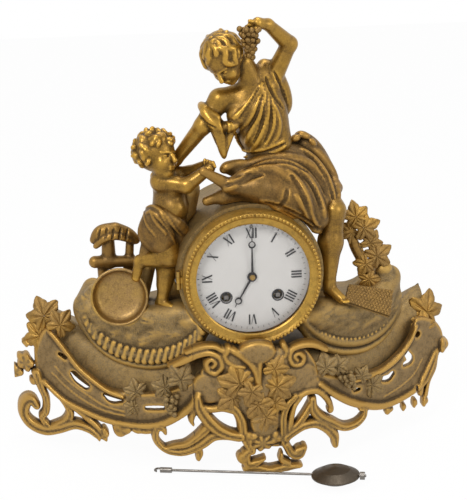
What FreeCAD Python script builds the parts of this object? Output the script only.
import FreeCAD, Part
import Sketcher
import math
import os

# A French figural mantel clock: a gilt cast base with pierced scrolls, a seated vintager with a
# child, and a round drum that holds the movement.  The frame has its origin on the table under
# the dial, +Z up, the dial facing -Y and +X to the viewer's right.

Vector = FreeCAD.Vector
doc = FreeCAD.newDocument("figural_clock")

# Driving dimensions in millimetres: name, value, what it measures
SIZES = [
    ("dial_height", 172, "dial centre above the table"),
    ("base_half_width", 200, "middle of the base to the end of its scrolls"),
    ("base_front", 38, "front of the rim in the middle, before the dial axis plane"),
    ("base_bow_depth", 118, "how far the rim falls back from middle to end"),
    ("base_back", 88, "flat back of the base"),
    ("scroll_height", 100, "height that the pierced work under the terrace follows"),
    ("apron_thickness", 8, "cast thickness of the pierced scrolls"),
        ("band_thickness", 4, "cast thickness of the pierced band"),
    ("cavetto_run", 16, "depth of the hollow moulding above the band"),
    ("terrace_thickness", 6, "thickness of the deck casting"),
    ("seam", 0.2, "gap left between castings that are bolted together"),
    ("mound_setback", 8, "front of the ground behind the rim"),
    ("mound_depth", 62, "depth of the ground castings"),
    ("mound_rim_width", 8, "width of the gadrooned edge of the ground"),
    ("mound_rim_relief", 4, "how far that edge stands out"),
    ("leaf_thickness", 3.5, "thickness of a cast vine leaf"),
    ("corner_leaf_length", 44, "length of the corner leaves"),
    ("spray_leaf_length", 30, "length of the leaves on the band"),
    ("grape_radius", 4.2, "radius of a cast grape"),
    ("woman_scale", 100, "length that every place and thickness of the woman follows"),
    ("woman_seat_x", 20, "seat of the woman, to the right of the dial"),
    ("woman_seat_y", 20, "seat of the woman, behind the dial axis plane"),
    ("woman_seat_rise", 78, "seat of the woman above the dial centre"),
    ("child_scale", 100, "length that every place and thickness of the child follows"),
    ("child_stand_x", 66, "standing foot of the child, to the left of the dial"),
    ("child_stand_y", 14, "standing foot of the child, behind the dial axis plane"),
    ("child_stand_z", 138, "ground under the child's foot above the table"),
    ("drum_radius", 62, "outside radius of the drum"),
    ("drum_wall", 2.5, "sheet thickness of the drum"),
    ("drum_front", 16, "front of the drum before the axis plane"),
    ("drum_depth", 88, "front of the drum to its back"),
    ("drum_lip", 7, "width of the turned-in front lip"),
    ("plate_rim_radius", 57.5, "radius of the dial plate's flange"),
    ("plate_thickness", 1.5, "thickness of the dial plate"),
    ("dial_radius", 49.3, "radius of the enamel dial"),
    ("dial_thickness", 2.4, "thickness of the enamel dial"),
    ("dial_crown", 0.8, "how far the enamel domes"),
    ("sight_width", 1.6, "width of the bright ring round the dial"),
    ("dial_feet_circle", 36, "radius on which the dial feet stand"),
    ("dial_foot_radius", 1.6, "radius of a dial foot"),
    ("bezel_radius", 59, "outside radius of the beaded bezel"),
    ("bezel_depth", 13.2, "depth of the bezel"),
    ("bezel_gap", 0.3, "gap behind the closed bezel"),
    ("bezel_sight", 48, "radius of the opening in the bezel"),
    ("bead_circle", 55.3, "radius of the ring of beads"),
    ("bead_radius", 1.9, "height of the row of beads"),
    ("glass_radius", 50.2, "radius of the glass"),
    ("glass_thickness", 1.5, "thickness of the glass"),
    ("hinge_offset", 2.9, "hinge line outside the bezel"),
    ("hinge_pin_radius", 0.8, "radius of the hinge pins"),
    ("hinge_knuckle_radius", 1.9, "outside radius of a hinge knuckle"),
    ("hinge_knuckle_length", 5, "length of a hinge knuckle"),
    ("running_fit", 0.06, "radial clearance of what turns"),
    ("end_play", 0.3, "gap at the end of what turns"),
    ("minute_hand_length", 40, "dial centre to the tip of the minute hand"),
    ("hour_hand_length", 30, "dial centre to the tip of the hour hand"),
    ("hand_width", 2.2, "width of a hand at its root"),
    ("hand_thickness", 0.5, "thickness of a hand"),
    ("hand_ring_radius", 3.1, "outside radius of the open ring on a hand"),
    ("hand_gap", 1.0, "gap between the dial and each hand"),
    ("centre_arbor_radius", 1.5, "radius of the centre arbor"),
    ("hour_pipe_radius", 2.6, "outside radius of the hour pipe"),
    ("collet_radius", 2.4, "radius of the brass collet"),
    ("winding_offset_x", 22, "winding squares to each side of the centre"),
    ("winding_drop", 17.5, "winding squares below the centre"),
    ("winding_square", 3.4, "side of a winding square"),
    ("winding_hole_radius", 4.2, "radius of a winding hole in the dial"),
    ("winding_arbor_radius", 2.2, "radius of a barrel arbor"),
    ("regulator_rise", 43.5, "regulating square above the centre"),
    ("regulator_radius", 1.3, "radius of the regulating square's arbor"),
    ("movement_radius", 47, "radius of the movement plates"),
    ("movement_front", 7, "dial feet length, drum front to the front plate"),
    ("movement_plate", 2, "thickness of a movement plate"),
    ("movement_gap", 34, "distance between the plates"),
    ("pillar_circle", 41, "radius on which the pillars stand"),
    ("pillar_radius", 2.6, "radius of a pillar"),
    ("barrel_radius", 15, "outside radius of a spring barrel"),
    ("barrel_length", 18, "length of a spring barrel"),
    ("wheel_thickness", 1.4, "thickness of a train wheel"),
    ("pivot_radius", 0.9, "radius of a train arbor"),
    ("centre_wheel_radius", 14, "tip radius of the centre wheel"),
    ("third_wheel_radius", 8.4, "tip radius of the third wheel"),
    ("escape_wheel_radius", 8, "tip radius of the escape wheel"),
    ("escape_rise", 19, "escape wheel above the centre"),
    ("pallet_rise", 31, "pallet arbor above the centre"),
    ("pinion_radius", 1.6, "tip radius of a pinion"),
    ("mesh_gap", 0.1, "gap between the tips of wheels and pinions"),
    ("motion_wheel_radius", 7.5, "tip radius of the minute and hour wheels"),
    ("tooth_height", 0.9, "height of a wheel tooth"),
    ("crutch_length", 24, "length of the crutch"),
    ("bell_radius", 26, "radius of the bell's mouth"),
    ("bell_depth", 13, "depth of the bell"),
    ("bell_wall", 1.6, "thickness of the bell"),
    ("bell_standoff", 13, "back plate to the mouth of the bell"),
    ("bell_drop", 6, "middle of the bell below the centre"),
    ("bell_post_radius", 2, "radius of the bell post"),
    ("hammer_offset", 34, "hammer arbor beside the centre"),
    ("hammer_drop", 30, "hammer arbor below the centre"),
    ("hammer_arm", 1.5, "thickness of the hammer arm"),
    ("hammer_head_radius", 2.5, "radius of the hammer head"),
    ("hammer_rest_gap", 1.0, "gap between the hammer head and the bell"),
    ("strap_offset", 50.5, "case straps to each side of the centre"),
    ("strap_width", 8, "width of a case strap"),
    ("strap_thickness", 1.6, "thickness of a case strap"),
    ("rear_ring_thickness", 2.5, "thickness of the rear ring"),
    ("rear_ring_opening", 42, "radius of the opening in the rear ring"),
    ("door_radius", 55, "radius of the rear door"),
    ("door_depth", 7, "how far the rear door domes"),
    ("door_thickness", 1.6, "thickness of the rear door"),
    ("door_knob_radius", 2.4, "radius of the door knob"),
    ("screw_circle", 47, "radius on which the case screws stand"),
    ("screw_head_radius", 3, "radius of a case screw's head"),
    ("screw_head_height", 1.8, "height of a case screw's head"),
    ("screw_radius", 1.5, "radius of a case screw"),
    ("screw_length", 9, "length of a case screw"),
    ("bowl_radius", 23.5, "outside radius of the grape tub"),
    ("bowl_depth", 10, "depth of the tub"),
    ("bowl_wall", 2.2, "thickness of the tub"),
    ("bowl_x", 110, "tub to the left of the dial"),
    ("bowl_y", 30, "tub behind the axis plane"),
    ("bowl_z", 149, "middle of the tub above the table"),
    ("bowl_lean", 14, "lean of the tub, degrees"),
    ("trestle_x", 112, "press to the left of the dial"),
    ("trestle_y", 46, "press behind the axis plane"),
    ("trestle_z", 172, "log of the press above the table"),
    ("trestle_scale", 20, "length that the press follows"),
    ("basket_x", 105, "wicker tray to the right of the dial"),
    ("basket_y", 14, "wicker tray behind the axis plane"),
    ("basket_z", 139, "middle of the wicker tray above the table"),
    ("basket_length", 50, "length of the wicker tray"),
    ("basket_width", 27, "width of the wicker tray"),
    ("basket_height", 7, "thickness of the wicker tray"),
    ("basket_tilt", 22, "fall of the tray to the right, degrees"),
    ("basket_pitch", 50, "slope of the tray towards the front, degrees"),
    ("trunk_x", 94, "vine trunk to the right of the dial"),
    ("trunk_y", 38, "vine trunk behind the axis plane"),
    ("trunk_scale", 100, "length that the trunk and its leaves follow"),
    ("bob_radius", 20.5, "radius of the pendulum bob"),
    ("bob_thickness", 15, "thickness of the pendulum bob"),
    ("bob_edge", 1.2, "thickness of the bob's edge"),
    ("rod_radius", 1.1, "radius of the pendulum rod"),
    ("pendulum_reach", 152, "hook to the middle of the bob"),
    ("rod_tail", 26, "middle of the bob to the end of the rating thread"),
    ("hook_radius", 3, "radius of the suspension hook"),
    ("hook_wire", 1.8, "thickness of the hook"),
    ("hook_block_radius", 2.4, "radius of the block that carries the hook"),
    ("hook_block_length", 10, "length of the block that carries the hook"),
    ("rating_nut_length", 4, "length of the rating nut"),
    ("rating_nut_radius", 3.4, "radius of the rating nut"),
    ("pendulum_x", 62, "middle of the bob, to the right of the dial"),
    ("pendulum_y", 69, "middle of the bob before the axis plane"),
    ("pendulum_yaw", -18, "direction of the rod on the table, degrees"),
    ("overrun", 30, "how far a cutting solid passes what it cuts"),
]

sheet = doc.addObject("Spreadsheet::Sheet", "Sizes")
for row, (name, value, note) in enumerate(SIZES, 1):
    sheet.set(f"A{row}", name)
    sheet.set(f"B{row}", str(value))
    sheet.set(f"C{row}", note)
    sheet.setAlias(f"B{row}", name)
doc.recompute()


def words(value):
    """The expression text of a size or of a plain number."""
    return value.text if isinstance(value, Size) else repr(float(value))


class Size(float):
    """A number read from the sheet that remembers the expression it comes from."""

    def __new__(cls, value, text):
        size = super().__new__(cls, value)
        size.text = text
        return size

    def __add__(self, other):
        return Size(float(self) + float(other), f"({self.text} + {words(other)})")

    def __sub__(self, other):
        return Size(float(self) - float(other), f"({self.text} - {words(other)})")

    def __mul__(self, other):
        return Size(float(self) * float(other), f"({self.text} * {words(other)})")

    def __truediv__(self, other):
        return Size(float(self) / float(other), f"({self.text} / {words(other)})")

    def __neg__(self):
        return Size(-float(self), f"(0 - {self.text})")


class Sheet:
    """Gives each alias of the sheet as an attribute."""

    def __getattr__(self, name):
        return Size(sheet.get(name), f"Sizes.{name}")


size = Sheet()
nodes = {}


def shape_of(label):
    """The shape of a finished sub-part in the clock's frame."""
    obj = nodes[label]
    if obj.TypeId == "PartDesign::Body":
        doc.recompute()
    return obj.Shape


def largest_solid(shape):
    """The biggest solid of a shape, so that a cut leaves no crumbs."""
    solids = sorted(shape.Solids, key=lambda solid: solid.Volume)
    return solids[-1]


# Tiny moves of a cutting solid, as shares of the seam, that free a cut from touching faces
NUDGE_SHARES = ((0, 0, 0), (0.03, 0.02, 0.01), (-0.04, 0.03, 0.02), (0.05, -0.06, 0.04),
                (-0.08, -0.07, 0.09), (0.15, 0.12, -0.10))


def cut_away(shape, tool):
    """The shape less the tool; a cut that goes wrong is tried again a hair to one side."""
    for nudge in NUDGE_SHARES:
        moved = tool.translated(Vector(*nudge) * float(size.seam))
        try:
            rest = shape.cut(moved)
        except (ValueError, Part.OCCError):
            continue
        if not (rest.isValid() and rest.Solids and rest.Volume < shape.Volume * 1.0001):
            continue
        if rest.BoundBox.DiagonalLength < shape.BoundBox.DiagonalLength * 1.02:
            return rest
        if abs(rest.Volume + shape.common(moved).Volume - shape.Volume) < shape.Volume * 0.001:
            return rest
    raise ValueError("a cut went wrong")


def casting(label, shape, clear_of=(), pieces=1):
    """A sub-part whose shape is worked out here, cut clear of the named sub-parts."""
    for other in clear_of:
        try:
            shape = cut_away(shape, shape_of(other))
        except ValueError as fault:
            raise ValueError(f"{label} against {other}: {fault}")
    if pieces == 1:
        shape = largest_solid(shape)
    obj = doc.addObject("Part::Feature", label)
    obj.Label = label
    obj.Shape = shape
    nodes[label] = obj
    return obj


def origin_plane(body, role):
    """One of the body's own origin planes."""
    return [plane for plane in body.Origin.OriginFeatures if plane.Role == role][0]


def new_body(label):
    body = doc.addObject("PartDesign::Body", label)
    body.Label = label
    nodes[label] = body
    return body


def new_sketch(body, role):
    sketch = body.newObject("Sketcher::SketchObject", body.Label + "_sketch")
    sketch.AttachmentSupport = [(origin_plane(body, role), "")]
    sketch.MapMode = "FlatFace"
    return sketch


def fix_point(sketch, geometry, corner, across, along):
    """Ties a point of the sketch to its two sizes."""
    for kind, value, axis in (("DistanceX", across, -2), ("DistanceY", along, -1)):
        if float(value) == 0:
            sketch.addConstraint(Sketcher.Constraint("PointOnObject", geometry, corner, axis))
            continue
        index = sketch.addConstraint(
            Sketcher.Constraint(kind, -1, 1, geometry, corner, float(value)))
        sketch.setExpression(f"Constraints[{index}]", words(value))


def draw_outline(sketch, points):
    """A closed outline of straight lines through the points."""
    count = len(points)
    for index, point in enumerate(points):
        following = points[(index + 1) % count]
        sketch.addGeometry(Part.LineSegment(Vector(*point, 0), Vector(*following, 0)))
    for index in range(count):
        sketch.addConstraint(
            Sketcher.Constraint("Coincident", index, 2, (index + 1) % count, 1))
    for index, point in enumerate(points):
        fix_point(sketch, index, 1, *point)


def draw_circle(sketch, radius, across=0, along=0):
    index = sketch.addGeometry(Part.Circle(Vector(across, along, 0), Vector(0, 0, 1), radius))
    constraint = sketch.addConstraint(Sketcher.Constraint("Radius", index, float(radius)))
    sketch.setExpression(f"Constraints[{constraint}]", words(radius))
    fix_point(sketch, index, 3, across, along)


def place(obj, x=None, y=None, z=None):
    """Binds the sub-part's place to the sheet."""
    for axis, value in (("x", x), ("y", y), ("z", z)):
        if value is not None:
            obj.setExpression(f"Placement.Base.{axis}", words(value))


def turned(label, points, x=None, z=None, role="XY_Plane"):
    """A turned piece: (radius, depth) points revolved about the fore-and-aft axis at x, z."""
    body = new_body(label)
    sketch = new_sketch(body, role)
    draw_outline(sketch, points)
    turn = body.newObject("PartDesign::Revolution", label + "_turn")
    turn.Profile = sketch
    turn.ReferenceAxis = (sketch, ["V_Axis"])
    turn.Angle = 360
    place(body, x=x, z=z if z is not None else size.dial_height)
    doc.recompute()
    return body


def plate_with_holes(label, radius, holes, front, thickness):
    """A round plate, front to back from the depth given, with (radius, x, z) holes."""
    body = new_body(label)
    sketch = new_sketch(body, "XZ_Plane")
    draw_circle(sketch, radius)
    for hole in holes:
        draw_circle(sketch, *hole)
    pad = body.newObject("PartDesign::Pad", label + "_pad")
    pad.Profile = sketch
    pad.Reversed = True
    pad.setExpression("Length", words(thickness))
    place(body, y=front, z=size.dial_height)
    doc.recompute()
    return body


# Shapes that several sub-parts share

def rod(start, end, radius, end_radius=None):
    """A round bar between two points, tapered when it has two radii."""
    axis = end - start
    if end_radius is None or abs(end_radius - radius) < 1e-6:
        return Part.makeCylinder(radius, axis.Length, start, axis)
    return Part.makeCone(radius, end_radius, axis.Length, start, axis)


def limb(start, end, radius, end_radius):
    """Two spheres joined by the cone that touches both."""
    axis = end - start
    length = axis.Length
    lean = (radius - end_radius) / length
    if abs(lean) > 0.95:
        centre, big = (start, radius) if radius > end_radius else (end, end_radius)
        return Part.makeSphere(big, centre)
    rise = math.sqrt(1 - lean * lean)
    low = Vector(radius * rise, 0, radius * lean)
    high = Vector(end_radius * rise, 0, length + end_radius * lean)

    def arc(centre, size_of, first, last):
        """The part of a circle in the profile plane between two angles from the axis."""
        middle = (first + last) / 2
        spots = [Vector(size_of * math.sin(turn), 0, centre + size_of * math.cos(turn))
                 for turn in (first, middle, last)]
        return Part.Arc(*spots).toShape()

    touch = math.acos(lean)
    profile = Part.Wire([
        arc(0, radius, math.pi, touch),
        Part.makeLine(low, high),
        arc(length, end_radius, touch, 0),
        Part.makeLine(Vector(0, 0, length + end_radius), Vector(0, 0, -radius))])
    solid = Part.Face(profile).revolve(Vector(0, 0, 0), Vector(0, 0, 1), 360)
    solid.Placement = FreeCAD.Placement(start, FreeCAD.Rotation(Vector(0, 0, 1), axis))
    return solid


def fused(shapes):
    """One solid from shapes that run into each other."""
    if len(shapes) == 1:
        return shapes[0]
    joined = shapes[0].multiFuse(shapes[1:])
    if joined.isValid():
        return joined
    joined = shapes[0]
    for shape in shapes[1:]:
        joined = joined.fuse(shape)
    return joined


def spot(anchor, scale, share):
    """A point given as shares of a scale from an anchor."""
    return anchor + Vector(*share) * float(scale)


def body_of_limbs(anchor, scale, points, limbs):
    """Limbs between named points; radii are shares of the scale."""
    return fused([
        limb(spot(anchor, scale, points[first]), spot(anchor, scale, points[last]),
             float(scale) * first_share, float(scale) * last_share)
        for first, last, first_share, last_share in limbs])


def rim_depth(across, setback=0.0):
    """How far back the bowed rim lies at a distance from the middle."""
    share = abs(across) / size.base_half_width
    return -float(size.base_front) + float(size.base_bow_depth) * share ** 1.5 + setback


# Stations across the base, as shares of the half width from the middle outwards
STATION_SHARES = (0.0, 0.14, 0.26, 0.40, 0.54, 0.66, 0.76, 0.86, 0.90, 0.95, 1.02)


def bowed_wall(setback, thickness, low, high, first, last):
    """An upright wall that follows the bowed rim between two places across the base."""
    stations = [side * share * size.base_half_width for share in STATION_SHARES
                for side in (-1, 1)]
    inner = sorted({x for x in stations if first < x < last})
    across = [first] + inner + [last]
    outline = [Vector(x, rim_depth(x, setback), low) for x in across]
    outline += [Vector(x, rim_depth(x, setback + thickness), low) for x in reversed(across)]
    face = Part.Face(Part.makePolygon(outline + [outline[0]]))
    return face.extrude(Vector(0, 0, high - low))


def elevation(x_share, z_share):
    """A point of the front elevation: shares of the half width and of the scroll height."""
    return Vector(x_share * size.base_half_width, 0, z_share * size.scroll_height)


def stroke(spine, widths):
    """A scroll in the front elevation: a smooth band whose width changes along its spine."""
    centre = [elevation(*point) for point in spine]
    count = len(centre)
    left, right = [], []
    for index, point in enumerate(centre):
        along = centre[min(index + 1, count - 1)] - centre[max(index - 1, 0)]
        side = Vector(-along.z, 0, along.x).normalize()
        half = widths[index] * size.scroll_height / 2
        left.append(point + side * half)
        right.append(point - side * half)
    upper = Part.BSplineCurve()
    upper.interpolate(left)
    lower = Part.BSplineCurve()
    lower.interpolate(list(reversed(right)))

    def cap(start, end, outward):
        middle = (start + end) / 2 + outward.normalize() * ((end - start).Length / 2)
        return Part.Arc(start, middle, end).toShape()

    outline = Part.Wire([
        upper.toShape(),
        cap(left[-1], right[-1], centre[-1] - centre[-2]),
        lower.toShape(),
        cap(right[0], left[0], centre[0] - centre[1])])
    return Part.Face(outline)


def eye(x_share, z_share, radius_share):
    """The round eye of a volute in the front elevation."""
    circle = Part.Circle(elevation(x_share, z_share), Vector(0, 1, 0),
                         radius_share * size.scroll_height)
    return Part.Face(Part.Wire(circle.toShape()))


def through(face):
    """A face of the front elevation carried right through the base, front to back."""
    depth = size.base_front + size.base_back + size.overrun * 2
    solid = face.extrude(Vector(0, depth, 0))
    solid.translate(Vector(0, -(size.base_front + size.overrun), 0))
    return solid


def scroll_pattern(strokes, eyes):
    """The outline of joined scrolls in the front elevation."""
    faces = [stroke(*item) for item in strokes] + [eye(*item) for item in eyes]
    return faces[0].multiFuse(faces[1:]).removeSplitter()


def openwork(pattern, first, last):
    """Scrolls cut from the bowed wall between two places across the base."""
    wall = bowed_wall(0, size.apron_thickness, 0, size.scroll_height * 1.6, first, last)
    return through(pattern).common(wall)


def vine_leaf(base, tip, facing, length, thickness):
    """A flat five-lobed leaf from base to tip, thickness towards its facing side."""
    along = (tip - base).normalize()
    side = facing.cross(along).normalize()
    outward = along.cross(side).normalize()
    # Lobe outline: turn from the stalk in degrees, reach as a share of the leaf's length
    lobe_shares = ((0, 0.0), (20, 0.42), (38, 0.62), (54, 0.50), (66, 0.36), (84, 0.66),
                   (100, 0.70), (112, 0.56), (126, 0.42), (146, 0.74), (164, 0.92), (180, 1.0))
    heart = base + along * (length * 0.36)
    right_half, left_half = [], []
    for turn, reach in lobe_shares[1:-1]:
        angle = math.radians(180 - turn)
        stretch = reach * length * 0.64
        for half, sign in ((right_half, 1), (left_half, -1)):
            half.append(heart + along * (stretch * math.cos(angle))
                        + side * (sign * stretch * math.sin(angle)))
    outline = [base] + right_half + [heart + along * (length * 0.64)] + left_half[::-1] + [base]
    leaf = Part.Face(Part.makePolygon(outline)).extrude(outward * float(thickness))
    return leaf


def grapes(top, fall, rows, radius):
    """A bunch of round grapes that narrows downwards, fused round a stalk."""
    berries = [rod(top, top + fall, radius * 0.6)]
    for row in range(rows):
        share = (row + 0.5) / rows
        around = max(1, round((1 - share) * 6))
        spread = radius * (0.3 + 0.42 * around) if around > 1 else 0
        middle = top + fall * share
        for step in range(around):
            turn = 2 * math.pi * (step + 0.5 * (row % 2)) / around
            berries.append(Part.makeSphere(
                radius, middle + Vector(spread * math.cos(turn), spread * math.sin(turn), 0)))
    return fused(berries)


def toothed_disc(teeth, tip_radius, root_radius, front, thickness, crossings=5):
    """A wheel blank about the Y axis with pointed teeth and round windows between its arms."""
    outline = []
    for tooth in range(teeth):
        for share, radius in ((0.0, root_radius), (0.25, root_radius), (0.42, tip_radius),
                              (0.58, tip_radius), (0.75, root_radius)):
            turn = 2 * math.pi * (tooth + share) / teeth
            outline.append(Vector(radius * math.sin(turn), front, radius * math.cos(turn)))
    outline.append(outline[0])
    blank = Part.Face(Part.makePolygon(outline)).extrude(Vector(0, thickness, 0))
    window = root_radius * 0.24
    for arm in range(crossings):
        turn = 2 * math.pi * arm / crossings
        centre = Vector(root_radius * 0.58 * math.sin(turn), front,
                        root_radius * 0.58 * math.cos(turn))
        blank = blank.cut(Part.makeCylinder(window, thickness, centre, Vector(0, 1, 0)))
    return blank


def about_axis(radius, front, back):
    """A round bar along the Y axis."""
    return Part.makeCylinder(radius, back - front, Vector(0, front, 0), Vector(0, 1, 0))


def at_dial(shape, x=0.0, rise=0.0):
    """Moves a shape made about the Y axis to its place beside the dial centre."""
    shape.translate(Vector(x, 0, size.dial_height + rise))
    return shape


# Depths along the clock's axis, front to back
drum_front = -size.drum_front
drum_back = drum_front + size.drum_depth
plate_front = drum_front - size.plate_thickness
dial_back = plate_front - size.seam
dial_front = dial_back - size.dial_thickness
bezel_back = plate_front - size.bezel_gap
bezel_front = bezel_back - size.bezel_depth
front_plate_front = drum_front + size.movement_front
front_plate_back = front_plate_front + size.movement_plate
back_plate_front = front_plate_back + size.movement_gap
back_plate_back = back_plate_front + size.movement_plate
hour_hand_back = dial_front - size.hand_gap
hour_hand_front = hour_hand_back - size.hand_thickness
minute_hand_back = hour_hand_front - size.hand_gap
minute_hand_front = minute_hand_back - size.hand_thickness
rear_ring_back = drum_back + size.rear_ring_thickness
hinge_x = size.bezel_radius + size.hinge_offset
hinge_y = bezel_back - size.hinge_knuckle_radius + size.end_play

# The drum that holds the movement
turned("drum_case", [
    (size.drum_radius - size.drum_wall - size.drum_lip, drum_front),
    (size.drum_radius, drum_front),
    (size.drum_radius, drum_back),
    (size.drum_radius - size.drum_wall, drum_back),
    (size.drum_radius - size.drum_wall, drum_front + size.drum_wall),
    (size.drum_radius - size.drum_wall - size.drum_lip, drum_front + size.drum_wall)])
drum_block = at_dial(about_axis(size.drum_radius + size.seam, drum_front - size.seam,
                                drum_back + size.seam))
bezel_room = at_dial(about_axis(size.bezel_radius + 4 * size.end_play,
                                bezel_front - size.overrun, drum_front))

# The terrace casting: deck, hollow moulding and flat back.  Levels are given at shares of the
# half width, from the middle outwards.
LEVEL_SHARES = STATION_SHARES[:8]
DECK_LEVEL_SHARES = (1.05, 1.03, 0.98, 0.92, 0.92, 1.00, 1.12, 1.22)
CAVETTO_LEVEL_SHARES = (0.78, 0.76, 0.70, 0.62, 0.58, 0.62, 0.74, 0.98)
BAND_FOOT_SHARES = (0.66, 0.64, 0.56, 0.40, 0.34, 0.35, 0.40, 0.50)
RIM_END_SHARES = ((0.90, 1.00, 0.57), (0.95, 0.98, 0.66))


def section_wire(x, outline):
    """A closed outline in the upright fore-and-aft plane at x; points are (depth, height)."""
    points = [Vector(x, depth, height) for depth, height in outline]
    return Part.makePolygon(points + [points[0]])


def deck_section(x, deck_share, cavetto_share):
    top = deck_share * size.scroll_height
    foot = cavetto_share * size.scroll_height
    front = rim_depth(x, size.apron_thickness + size.band_thickness + size.seam * 2)
    crest = front + size.cavetto_run
    thick = size.terrace_thickness
    return section_wire(x, [
        (front, foot),
        (front + size.cavetto_run * 0.55, foot + (top - foot) * 0.3),
        (front + size.cavetto_run * 0.88, foot + (top - foot) * 0.68),
        (crest, top),
        (size.base_back, top),
        (size.base_back, top - thick),
        (crest + thick * 0.4, top - thick),
        (front + size.cavetto_run * 0.55 + thick, foot + (top - foot) * 0.2),
        (front + thick, foot)])


mirrored = list(reversed(range(1, len(LEVEL_SHARES))))
deck_wires = [deck_section(-LEVEL_SHARES[i] * size.base_half_width, DECK_LEVEL_SHARES[i],
                           CAVETTO_LEVEL_SHARES[i]) for i in mirrored]
deck_wires += [deck_section(LEVEL_SHARES[i] * size.base_half_width, DECK_LEVEL_SHARES[i],
                            CAVETTO_LEVEL_SHARES[i]) for i in range(len(LEVEL_SHARES))]
deck = Part.makeLoft(deck_wires, True, True)
casting("base_casting", deck.cut(drum_block))


def band_section(x, top_share, foot_share):
    top = top_share * size.scroll_height - size.seam
    foot = foot_share * size.scroll_height
    front = rim_depth(x, size.apron_thickness + size.seam)
    return section_wire(x, [
        (front, foot), (front, top),
        (front + size.band_thickness, top), (front + size.band_thickness, foot)])


def gallery(label, side, opening_shares):
    """One half of the pierced band, with its oval openings (x, z, half width, half height)."""
    wires = [band_section(side * LEVEL_SHARES[i] * size.base_half_width,
                          CAVETTO_LEVEL_SHARES[i], BAND_FOOT_SHARES[i])
             for i in range(2, len(LEVEL_SHARES))]
    wires += [band_section(side * share * size.base_half_width, top, foot)
              for share, top, foot in RIM_END_SHARES]
    band = Part.makeLoft(wires, True, True)
    for x_share, z_share, long_share, short_share, turn in opening_shares:
        ellipse = Part.Ellipse(Vector(0, 0, 0), long_share * size.scroll_height,
                               short_share * size.scroll_height)
        hole = Part.Face(Part.Wire(ellipse.toShape()))
        hole.rotate(Vector(0, 0, 0), Vector(1, 0, 0), 90)
        hole.rotate(Vector(0, 0, 0), Vector(0, 1, 0), turn)
        hole.translate(elevation(x_share, z_share))
        band = band.cut(through(hole))
    casting(label, band)


gallery("gallery_left", -1, [
    (-0.83, 0.74, 0.07, 0.035, 60), (-0.74, 0.56, 0.10, 0.05, 35),
    (-0.60, 0.46, 0.10, 0.045, 8), (-0.44, 0.48, 0.08, 0.03, -8)])
gallery("gallery_right", 1, [
    (0.80, 0.66, 0.09, 0.045, -55), (0.70, 0.50, 0.10, 0.045, -25), (0.52, 0.43, 0.05, 0.03, 0)])

# Pierced scrolls under the band: spine points and widths, as shares
LEFT_STROKES = [
    ([(-0.94, 0.62), (-0.90, 0.46), (-0.88, 0.30), (-0.89, 0.12)], [0.06, 0.07, 0.07, 0.06]),
    ([(-0.97, 0.36), (-0.995, 0.22), (-0.93, 0.08), (-0.82, 0.058), (-0.70, 0.13),
      (-0.60, 0.20), (-0.54, 0.26)], [0.05, 0.09, 0.12, 0.11, 0.10, 0.09, 0.08]),
    ([(-0.80, 0.40), (-0.79, 0.26), (-0.83, 0.08)], [0.07, 0.06, 0.05]),
    ([(-0.70, 0.14), (-0.66, 0.08), (-0.63, 0.06)], [0.06, 0.05, 0.04]),
    ([(-0.70, 0.42), (-0.64, 0.34), (-0.56, 0.29), (-0.48, 0.30), (-0.40, 0.36),
      (-0.30, 0.50), (-0.24, 0.66)], [0.06, 0.09, 0.10, 0.09, 0.08, 0.08, 0.06]),
    ([(-0.56, 0.27), (-0.50, 0.20), (-0.43, 0.29)], [0.07, 0.08, 0.06]),
    ([(-0.41, 0.36), (-0.405, 0.22), (-0.36, 0.12), (-0.28, 0.13), (-0.19, 0.22),
      (-0.08, 0.25)], [0.06, 0.05, 0.06, 0.07, 0.09, 0.09]),
    ([(-0.27, 0.56), (-0.22, 0.42), (-0.15, 0.33), (-0.05, 0.26)], [0.08, 0.09, 0.09, 0.08]),
    ([(-0.20, 0.24), (-0.235, 0.16), (-0.22, 0.13)], [0.08, 0.06, 0.04]),
]
RIGHT_STROKES = [
    ([(0.91, 0.60), (0.885, 0.40), (0.83, 0.22), (0.80, 0.13)], [0.05, 0.07, 0.06, 0.07]),
    ([(0.89, 0.46), (0.90, 0.24), (0.88, 0.02)], [0.05, 0.06, 0.05]),
    ([(0.955, 0.66), (0.985, 0.50), (0.965, 0.38), (0.89, 0.36)], [0.05, 0.06, 0.07, 0.07]),
    ([(0.90, 0.47), (0.84, 0.40), (0.78, 0.27), (0.66, 0.22), (0.54, 0.30), (0.40, 0.38),
      (0.29, 0.56)], [0.05, 0.08, 0.10, 0.10, 0.09, 0.08, 0.06]),
    ([(0.76, 0.24), (0.73, 0.14), (0.69, 0.11)], [0.08, 0.07, 0.05]),
    ([(0.56, 0.30), (0.55, 0.17), (0.47, 0.11), (0.36, 0.17), (0.24, 0.22), (0.13, 0.22)],
     [0.06, 0.06, 0.07, 0.09, 0.10, 0.09]),
    ([(0.35, 0.50), (0.33, 0.36), (0.26, 0.24), (0.18, 0.18)], [0.08, 0.09, 0.09, 0.08]),
    ([(0.34, 0.20), (0.385, 0.16), (0.395, 0.11)], [0.07, 0.06, 0.05]),
]
CENTRE_STROKES = [
    ([(-0.22, 0.74), (-0.16, 0.56), (-0.08, 0.40), (-0.01, 0.20), (0.05, 0.07)],
     [0.16, 0.18, 0.16, 0.13, 0.12]),
    ([(0.30, 0.72), (0.25, 0.54), (0.18, 0.38), (0.13, 0.20), (0.08, 0.08)],
     [0.16, 0.17, 0.15, 0.12, 0.10]),
    ([(0.035, 0.98), (0.035, 0.80), (0.045, 0.62), (0.055, 0.44), (0.06, 0.26), (0.06, 0.12)],
     [0.40, 0.62, 0.58, 0.40, 0.22, 0.14]),
    ([(-0.07, 0.16), (-0.04, 0.08), (0.06, 0.045), (0.16, 0.06), (0.20, 0.14)],
     [0.06, 0.07, 0.09, 0.07, 0.06]),
]
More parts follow.
